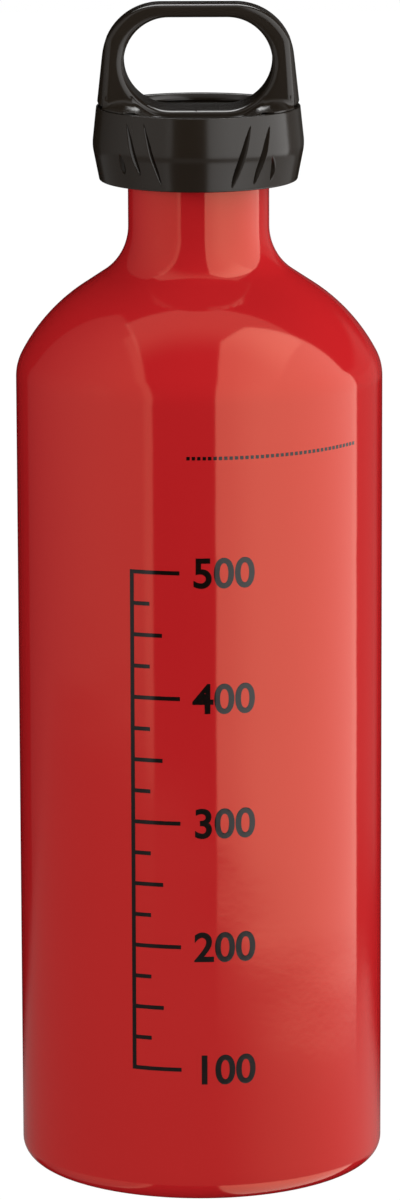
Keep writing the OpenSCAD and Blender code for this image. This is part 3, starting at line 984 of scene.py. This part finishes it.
@dataclass
class CarryHandle:
    """Carry loop, moulded with the cap's round top disc and the lugs, keys and spring boss under it."""

    disc_low: float = 211.288
    disc_top: float = 213.288
    disc_radius: float = 18.0
    root_radius: float = 17.6
    foot: float = 215.438
    top: float = 235.188
    half_width: float = 20.0
    lean: float = 6.3
    corner: float = 11.7
    bar: float = 2.5
    bar_depth: float = 8.0
    foot_depth: float = 14.0
    eye_half: float = 14.65
    eye_height: float = 10.5
    web_height: float = 1.3
    flare_rise: float = 4.3
    flare_start: float = 12.4
    flare_end: float = 15.4
    flare_reach: float = 14.5
    flare_rest: float = 8.0
    rim: float = 214.838
    seat_radius: float = 17.55
    bevel: float = 1.1
    bevel_round: float = 0.8
    inner_rounds: tuple[float, float, float] = (1.6, 1.9, 1.1)
    boss_radius: float = 3.95
    boss_height: float = 3.0
    crown_inner: float = 11.5
    crown_outer: float = 15.8
    lug_low: float = 207.888
    lug_angle: float = 11.0
    lugs: int = 6
    key_inner: float = 17.4
    key_outer: float = 17.9
    key_low: float = 210.188
    key_angle: float = 7.0
    keys: int = 6

    def half_depth(self, height: np.ndarray) -> np.ndarray:
        """Half the loop's depth at a height: it tapers evenly from the feet to the top bar."""
        t = np.clip((height - self.foot) / (self.top - self.foot), -0.2, 1)
        return self.foot_depth / 2 + (self.bar_depth - self.foot_depth) / 2 * t

    def eye_low(self, x: np.ndarray) -> np.ndarray:
        """Height of the eye's lower edge: the web between the feet, then the lower arc of the eye."""
        radius = self.eye_height - self.web_height
        aside = np.clip(np.abs(x) - (self.eye_half - radius), 0, radius)
        return self.disc_top + self.eye_height - np.sqrt(radius**2 - aside**2)

    def outlines(self) -> tuple[np.ndarray, np.ndarray]:
        """Outer edge of the ring round the eye and the edge of the eye, paired point by point.

        They run from the middle of the web over the right foot and leg to the middle of the bar. The web's
        and the foot's outer edge lies inside the disc.
        """
        lean = math.radians(self.lean)
        corner_z = self.top - self.corner
        tangent = corner_z + self.corner * math.sin(lean)
        narrowing = (tangent - self.foot) * math.tan(lean)
        corner_x = self.half_width - narrowing - self.corner * math.cos(lean)
        web, heel, leg, bend, flat = 6, 9, 26, 30, 8
        buried = self.disc_top - 0.6
        outer = np.concatenate([
            line((0, buried), (self.root_radius, buried), web + heel),
            [
                [self.root_radius, self.disc_top],
                [self.root_radius, self.foot - 0.15],
                [self.root_radius + 0.15, self.foot],
                [self.half_width - 0.5, self.foot],
                [self.half_width - 0.15, self.foot + 0.12],
            ],
            line((self.half_width - 0.05, self.foot + 0.45), (self.half_width - narrowing, tangent), leg),
            arc((corner_x, corner_z), self.corner, self.lean, 90, bend)[1:],
            line((corner_x, self.top), (0, self.top), flat)[1:],
        ])
        eye_z = self.disc_top + self.eye_height
        low, high = self.eye_height - self.web_height, self.top - self.disc_top - self.bar - self.eye_height
        inner = np.concatenate([
            line((0, eye_z - low), (self.eye_half - low, eye_z - low), web),
            arc((self.eye_half - low, eye_z), low, -90, -50, heel)[1:],
            arc((self.eye_half - low, eye_z), low, -50, 0, leg + 6)[1:],
            arc((self.eye_half - high, eye_z), high, 0, 90, bend)[1:],
            line((self.eye_half - high, eye_z + high), (0, eye_z + high), flat)[1:],
        ])
        return outer, inner

    def section(
        self, width: np.ndarray, half: np.ndarray, height: np.ndarray
    ) -> tuple[np.ndarray, np.ndarray]:
        """Section across the bar, as shares: p from the outer edge to the eye, q from front to back.

        The outer corners are cut by a soft bevel, bevel_round of the way from a straight cut to a parabola,
        and the inner corners are rounded by a parabola.

        Args:
            width: width of the bar at each place along the loop, (places,).
            half: half its depth there, (places,).
            height: height of the eye's edge there, (places,).

        Returns:
            p and q, (points round the section, places).
        """
        cut_p, cut_q = np.minimum(self.bevel / width, 0.4), self.bevel / half
        middle = self.disc_top + self.eye_height
        rounding = np.interp(height, [self.disc_top, middle, self.top - self.bar], self.inner_rounds)
        turn_p, turn_q = np.minimum(rounding / width, 0.45), rounding / half
        zero, one = np.zeros_like(width), np.ones_like(width)
        stations = [
            ((zero, -(1 - cut_q)), (zero, 1 - cut_q), None, 8),
            ((zero, 1 - cut_q), (cut_p, one), (zero, one), 6),
            ((cut_p, one), (1 - turn_p, one), None, 10),
            ((1 - turn_p, one), (one, 1 - turn_q), (one, one), 7),
            ((one, 1 - turn_q), (one, -(1 - turn_q)), None, 8),
            ((one, -(1 - turn_q)), (1 - turn_p, -one), (one, -one), 7),
            ((1 - turn_p, -one), (cut_p, -one), None, 10),
            ((cut_p, -one), (zero, -(1 - cut_q)), (zero, -one), 6),
        ]
        shares = []
        for number, (start, end, tip, steps) in enumerate(stations):
            t = (np.arange(steps) / steps)[:, None]
            straight = [(1 - t) * a + t * b for a, b in zip(start, end)]
            if tip is None:
                shares.append(straight)
                continue
            round_share = self.bevel_round if number in (1, 7) else 1.0
            curved = [(1 - t) ** 2 * a + 2 * t * (1 - t) * c + t**2 * b for a, b, c in zip(start, end, tip)]
            shares.append([(1 - round_share) * s + round_share * c for s, c in zip(straight, curved)])
        return tuple(np.concatenate([part[k] for part in shares]) for k in (0, 1))

    def loop(self, surface: Surface) -> None:
        """Carries the section round the eye: web, right leg, bar and left leg in one closed ring.

        A point lies at outer + p (inner - outer) in the plane of the loop and at q times the half depth of
        its height across it. The legs' outer faces follow the round of the collar: there a point moves
        inwards by (1 - p) (|x| - sqrt(R^2 - y^2)), R being the loop's half width at its height.
        """
        outer, inner = self.outlines()
        mirror = np.array([-1, 1])
        outer = np.concatenate([outer, outer[-2:0:-1] * mirror])
        inner = np.concatenate([inner, inner[-2:0:-1] * mirror])
        width = np.linalg.norm(inner - outer, axis=1)
        p, q = self.section(width, self.half_depth((outer[:, 1] + inner[:, 1]) / 2), inner[:, 1])
        flat = outer + p[..., None] * (inner - outer)
        y = q * self.half_depth(flat[..., 1])
        lean = math.tan(math.radians(self.lean))
        side = np.abs(outer[:, 0])
        cone = self.half_width - (outer[:, 1] - self.foot) * lean
        reach = np.where(outer[:, 1] < self.foot + 0.3, np.maximum(side, self.root_radius), cone)
        over = np.maximum(side - np.sqrt(np.maximum(reach**2 - y**2, 0)), 0)
        x = flat[..., 0] - np.sign(flat[..., 0]) * (1 - p) * over
        surface.join(np.stack([x, y, flat[..., 1]], axis=-1), wrap_rows=True, wrap_columns=True)

    def feet(self, surface: Surface) -> None:
        """Adds the hollow flares in front of and behind the loop's feet and web.

        With X the distance from the middle and d the share of the way from the leg's face to the flare's
        edge, the height is base + (top - base) (1 - sqrt(1 - (1 - d)^2)), a quarter round that leaves the
        face upright and runs out level. The edge lies on the disc and swings out with X to the collar's wall;
        the base climbs there to the rim, and past flare_start the edge passes over the rim and follows the
        round of the collar.
        """
        close = np.linspace(9.0, 14.4, 37)
        x = np.unique(np.concatenate([np.linspace(-18.9, 18.9, 64), close, -close]))
        far = np.abs(x)
        climb, over = self.step(far, 8.5, self.flare_start), self.step(far, self.flare_start, self.flare_end)
        wall = np.sqrt(np.maximum(self.seat_radius**2 - far**2, 1))
        swing = self.flare_rest + (self.flare_reach - self.flare_rest) * self.step(far, 5.5, 11.5)
        inside = np.minimum(swing, wall) - 0.35 * np.exp(-(((swing - wall) / 0.8) ** 2))
        edge = (1 - over) * inside + over * np.sqrt(self.half_width**2 - far**2)
        base = self.disc_top + (self.rim + 0.12 - self.disc_top) * climb + 0.28 * over
        lifted = self.step(far, self.flare_start - 0.6, self.flare_start - 0.1)
        under = self.disc_top - 0.5 + (self.rim + 0.6 - self.disc_top) * lifted
        top = np.maximum(np.minimum(self.eye_low(x) - 0.85, self.disc_top + self.flare_rise), base + 0.05)
        start = np.minimum(self.half_depth(top) - 0.05, 0.92 * edge)
        d = np.linspace(0, 1, 19)[:, None] ** 2
        rise = base + (top - base) * (1 - np.sqrt(1 - (1 - d) ** 2))
        out = start + (edge - start) * d
        ring_y = np.concatenate([out, edge[None], start[None]])
        ring_z = np.concatenate([rise, under[None], under[None]])
        for side in (-1, 1):
            grid = np.stack(np.broadcast_arrays(x, side * ring_y, ring_z), axis=-1)
            surface.join(capped(grid), wrap_rows=True)

    def step(self, value: np.ndarray, low: float, high: float) -> np.ndarray:
        """Smooth step t^2 (3 - 2 t), t running from 0 at low to 1 at high."""
        t = np.clip((value - low) / (high - low), 0, 1)
        return t**2 * (3 - 2 * t)

    def seam(self, surface: Surface) -> None:
        """Adds the fine ridge that the split of the mould left across the web."""
        half = self.half_depth(self.disc_top + self.web_height) - 0.9
        top = self.disc_top + self.web_height
        corners = np.array([[-0.2, -0.3], [-0.12, 0.13], [0.12, 0.13], [0.2, -0.3]])
        across = soften(corners, 0.08, 3, closed=True)
        y = np.linspace(-half, half, 5)
        grid = np.stack(np.broadcast_arrays(across[:, 0, None] - 0.4, y, across[:, 1, None] + top), axis=-1)
        surface.join(capped(grid), wrap_rows=True)

    def disc(self, surface: Surface) -> None:
        """Turns the disc with its boss."""
        section = soften(np.array([
            [0.0, self.disc_top],
            [self.disc_radius - 0.2, self.disc_top],
            [self.disc_radius, self.disc_top - 0.2],
            [self.disc_radius, self.disc_low],
            [self.boss_radius, self.disc_low],
            [self.boss_radius, self.disc_low - self.boss_height],
            [0.0, self.disc_low - self.boss_height],
        ]), 0.08, 4)[::-1]
        angle = np.linspace(0, TURN, 180, endpoint=False)
        surface.join(revolved(section[:, 0, None], section[:, 1, None], angle), wrap_columns=True)

    def blocks(
        self, surface: Surface, inner: float, outer: float, low: float, width: float, count: int
    ) -> None:
        """Adds a ring of closed blocks that follow the round of the disc and reach up into it.

        Args:
            surface: the surface that gathers the blocks.
            inner: inner radius.
            outer: outer radius.
            low: height of their undersides.
            width: width of each as an angle, in degrees.
            count: number of blocks round the disc.
        """
        high = self.disc_low + 0.4
        corners = np.array([[inner, high], [inner, low], [outer, low], [outer, high]])
        edge = soften(corners, 0.2, 3, closed=True)
        for i in range(count):
            angle = np.radians(i * 360 / count + width * np.linspace(-0.5, 0.5, 9))
            surface.join(capped(revolved(edge[:, 0, None], edge[:, 1, None], angle)), wrap_rows=True)

    def make(self, plastic: Material) -> Piece:
        """Builds the handle with all that is moulded under its disc."""
        surface = Surface("carry_loop")
        self.loop(surface)
        self.feet(surface)
        self.seam(surface)
        self.disc(surface)
        self.blocks(surface, self.crown_inner, self.crown_outer, self.lug_low, self.lug_angle, self.lugs)
        self.blocks(surface, self.key_inner, self.key_outer, self.key_low, self.key_angle, self.keys)
        piece = surface.build([plastic], sharp=38)
        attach(piece, Body.CAP.value)
        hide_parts("carry_handle")
        return piece


@dataclass
class PlugDressing:
    """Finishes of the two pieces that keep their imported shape: the screw plug and its seal ring."""

    plug: str = "threaded_plug"
    seal: str = "lip_seal"

    def make(self, nylon: Material, rubber: Material) -> list[Piece]:
        """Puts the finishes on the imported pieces."""
        pieces = []
        for name, finish in ((self.plug, nylon), (self.seal, rubber)):
            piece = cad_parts[name]
            piece.data.materials.clear()
            piece.data.materials.append(finish)
            pieces.append(piece)
        return pieces


# The studio

Way = tuple[float, float, float]
RIGHT, LEFT, BACK, FRONT = (1.0, 0.0, 0.0), (-1.0, 0.0, 0.0), (0.0, 1.0, 0.0), (0.0, -1.0, 0.0)
UP, DOWN = (0.0, 0.0, 1.0), (0.0, 0.0, -1.0)


@dataclass(frozen=True)
class Rim:
    """Straight edge of a light field: a direction is inside where its share along `way` is over `least`."""

    way: Way
    least: float = 0.0
    blur: float = 0.012


@dataclass(frozen=True)
class Rise:
    """Rise of a field's strength by `gain` as a direction's share along `way` grows from `low` to `high`."""

    way: Way
    low: float
    high: float
    gain: float


@dataclass(frozen=True)
class LightField:
    """A patch of the sky: it shines where a direction lies on the inner side of every rim."""

    strength: float
    rims: tuple[Rim, ...]
    rises: tuple[Rise, ...] = ()


@dataclass(frozen=True)
class Lamp:
    """Round soft lamp that points at the bottle: its place in metres and its power in watts."""

    name: str
    place: Way
    power: float


@dataclass
class Studio:
    """White table, lights all round and overhead, and the camera at the photograph's viewpoint."""

    camera_at: Way = (0.0, -1.22597, 0.3765)
    pitch: float = 0.2102
    roll: float = -0.0036
    lens: float = 187.218
    table_radius: float = 2.0
    table_light: float = 0.48
    lamp_width: float = 0.5
    lamp_aim: Way = (0.0, 0.0, 0.12)
    lamps: tuple[Lamp, ...] = (
        Lamp("top_lamp", (0.0, -0.35, 1.3), 1.0),
        Lamp("back_lamp", (1.1, 0.7, 0.25), 7.8),
        Lamp("left_lamp", (-1.2, -0.5, 0.4), 4.3),
        Lamp("front_lamp", (-0.7, -1.1, 0.4), 1.9),
    )
    right: LightField = LightField(
        1.47,
        (Rim(RIGHT, 0.17), Rim((0.406, -0.857, -0.159)), Rim((0.794, -0.532, -0.295))),
        (Rise(RIGHT, 0.2, 0.65, 0.51),),
    )
    left: LightField = LightField(
        0.01,
        (Rim(LEFT, 0.48), Rim((-0.713, -0.688, -0.135))),
        (Rise(FRONT, -1.0, 0.5, 0.48),),
    )
    left_border: LightField = LightField(
        0.3,
        (Rim(LEFT, 0.48, 0.01), Rim(RIGHT, -0.56, 0.03), Rim(FRONT), Rim((-0.713, -0.688, -0.135))),
    )
    above: LightField = LightField(
        0.57,
        (Rim(BACK, -0.25, 0.2), Rim(FRONT, -0.17), Rim(RIGHT, -0.5), Rim(LEFT, -0.7), Rim(UP, 0.3)),
    )
    behind: LightField = LightField(
        3.6,
        (Rim((-0.951, 0.309, 0.0)), Rim((0.951, 0.309, 0.0)), Rim(UP, 0.42, 0.03), Rim(DOWN, -0.866)),
    )
    side_right: LightField = LightField(
        0.15,
        (
            Rim((-0.375, 0.927, 0.0), 0.0, 0.02),
            Rim((0.866, -0.5, 0.0), 0.0, 0.1),
            Rim(UP, -0.25),
            Rim(DOWN, -0.3, 0.05),
        ),
    )
    back_right: LightField = LightField(
        0.05,
        (Rim((-0.469, 0.883, 0.0)), Rim((0.996, -0.087, 0.0)), Rim(UP, -0.165), Rim(DOWN, -0.1)),
    )
    table_glow: LightField = LightField(
        0.18,
        (
            Rim((-0.025, 0.0, -1.0), 0.247, 0.008),
            Rim((-0.009, -0.08, -1.0), 0.208, 0.008),
            Rim(UP, -0.44, 0.04),
        ),
        (Rise(RIGHT, 0.1, 0.95, 0.355),),
    )

    def camera(self) -> None:
        """Sets the camera from the fit to the photograph: pitched down, then rolled about its own axis."""
        data = bpy.data.cameras.new("photograph_view")
        data.sensor_fit = "VERTICAL"
        data.sensor_height = 36.0
        data.lens = self.lens
        data.clip_start, data.clip_end = 0.05, 20.0
        camera = bpy.data.objects.new("photograph_view", data)
        turn = Matrix.Rotation(math.pi / 2 - self.pitch, 4, "X") @ Matrix.Rotation(self.roll, 4, "Z")
        camera.matrix_world = Matrix.Translation(self.camera_at) @ turn
        bpy.context.scene.collection.objects.link(camera)
        bpy.context.scene.camera = camera
        # light is shown as it is, with no film curve over it
        bpy.context.scene.view_settings.view_transform = "Standard"

    def step(
        self,
        tree: Tree,
        sky: Socket,
        way: Way,
        low: float,
        high: float,
        gain: float = 1.0,
    ) -> Socket:
        """Makes a smooth step from 0 to a gain over a direction's share along another.

        Args:
            tree: node tree of the world.
            sky: direction that is looked at.
            way: direction that it is measured along.
            low: share at which the step starts.
            high: share at which it ends.
            gain: its height.

        Returns:
            Socket of the step.
        """
        along = add(tree, "VectorMath", {0: sky, 1: way}, operation="DOT_PRODUCT").outputs["Value"]
        settings = {"Value": along, "From Min": low, "From Max": high, "To Max": gain}
        return add(tree, "MapRange", settings, interpolation_type="SMOOTHSTEP").outputs["Result"]

    def reckon(self, tree: Tree, operation: str, *values: Socket | float) -> Socket:
        """Adds one step of arithmetic on values and sockets, such as MULTIPLY."""
        return add(tree, "Math", dict(enumerate(values)), operation=operation).outputs[0]

    def shine(
        self, tree: Tree, sky: Socket, light: LightField
    ) -> tuple[Socket, Socket]:
        """Makes a light field: the product of a soft step at each rim, and the strength with its rises.

        Args:
            tree: node tree of the world.
            sky: direction.
            light: the field.

        Returns:
            Socket that gives 1 inside the field and 0 outside, and socket of its strength.
        """
        edges = [(rim.way, rim.least - rim.blur, rim.least + rim.blur) for rim in light.rims]
        steps = [self.step(tree, sky, *edge) for edge in edges]
        share = steps[0]
        for step in steps[1:]:
            share = self.reckon(tree, "MULTIPLY", share, step)
        strength = self.reckon(tree, "MULTIPLY", share, light.strength)
        for rise in light.rises:
            more = self.step(tree, sky, rise.way, rise.low, rise.high, rise.gain)
            strength = self.reckon(tree, "MULTIPLY_ADD", more, share, strength)
        return share, strength

    def world(self) -> None:
        """Lights the scene from soft fields in a dark room, with a white backdrop behind for the camera."""
        world = bpy.data.worlds.new("studio")
        world.use_nodes = True
        bpy.context.scene.world = world
        tree = world.node_tree
        tree.nodes.clear()
        sky = add(tree, "TexCoord").outputs["Generated"]
        total = None
        sides = (self.side_right, self.back_right)
        lights = (self.right, self.left, self.left_border, self.above, self.behind, *sides)
        for light in lights:
            lit = self.shine(tree, sky, light)[1]
            total = lit if total is None else self.reckon(tree, "ADD", total, lit)
        share, glow = self.shine(tree, sky, self.table_glow)
        dark = self.reckon(tree, "SUBTRACT", 1.0, share)
        total = self.reckon(tree, "MULTIPLY_ADD", total, dark, glow)
        room = add(tree, "Background", {"Color": (1, 1, 1, 1), "Strength": total})
        backdrop = add(tree, "Background", {"Color": (1, 1, 1, 1), "Strength": 1.0})
        camera_ray = add(tree, "LightPath").outputs["Is Camera Ray"]
        both = add(tree, "MixShader", {0: camera_ray, 1: room.outputs[0], 2: backdrop.outputs[0]})
        add(tree, "OutputWorld", {"Surface": both.outputs[0]})

    def hang_lamps(self) -> None:
        """Adds the lamps, which light the bottle but don't show in its gloss."""
        middle = Vector(self.lamp_aim)
        for lamp in self.lamps:
            data = bpy.data.lights.new(lamp.name, "AREA")
            data.shape = "DISK"
            data.size = self.lamp_width
            data.energy = lamp.power
            hung = bpy.data.objects.new(lamp.name, data)
            aim = (middle - Vector(lamp.place)).to_track_quat("-Z", "Y").to_matrix().to_4x4()
            hung.matrix_world = Matrix.Translation(lamp.place) @ aim
            hung.visible_glossy = False
            bpy.context.scene.collection.objects.link(hung)

    def table(self) -> None:
        """Lays the white round table: rings of points at height 0, a white sheet lit from within."""
        material, tree = new_material("white lit acrylic sheet")
        # it shows as bright as the backdrop, and lights the bottle less
        camera_ray = add(tree, "LightPath").outputs["Is Camera Ray"]
        shade(tree, {
            "Base Color": linear("#202020"),
            "Roughness": 0.6,
            "Specular IOR Level": 0.0,
            "Emission Color": (1, 1, 1, 1),
            "Emission Strength": spread(tree, camera_ray, self.table_light, 1.0),
        })
        radius = np.array([0.0, 0.05, 0.2, 0.6, 1.0])[:, None] * self.table_radius / MM
        grid = revolved(radius, np.zeros_like(radius), np.linspace(0, TURN, 96, endpoint=False))
        surface = Surface("table")
        surface.join(grid, wrap_columns=True)
        table = surface.build([material])
        table.visible_glossy = False


def main() -> None:
    """Builds the studio and every piece in order, and logs each."""
    logging.basicConfig(level=logging.INFO, format="%(name)s %(message)s")
    studio = Studio()
    studio.camera()
    studio.world()
    studio.hang_lamps()
    studio.table()
    enamel = BakedEnamel().material()
    bare = TurnedAluminium().material()
    ink = ScreenInk().material()
    collar_plastic = MouldedPlastic("black moulded grip plastic", roughness=0.17, grain_depth=0.02).material()
    loop_plastic = MouldedPlastic("black polished loop plastic", roughness=0.2, grain_depth=0.006).material()
    nylon = MouldedPlastic("dark moulded nylon", colour="#262422", roughness=0.42).material()
    pieces = [Bottle().make(enamel, bare)]
    pieces += BodyPrint().make(ink)
    pieces += PlugDressing().make(nylon, NitrileRubber().material())
    pieces.append(ReturnSpring().make(DrawnSteelWire().material()))
    pieces.append(GripCollar().make(collar_plastic))
    pieces.append(CarryHandle().make(loop_plastic))
    for piece in pieces:
        report(piece)


if __name__ == "__main__":
    main()
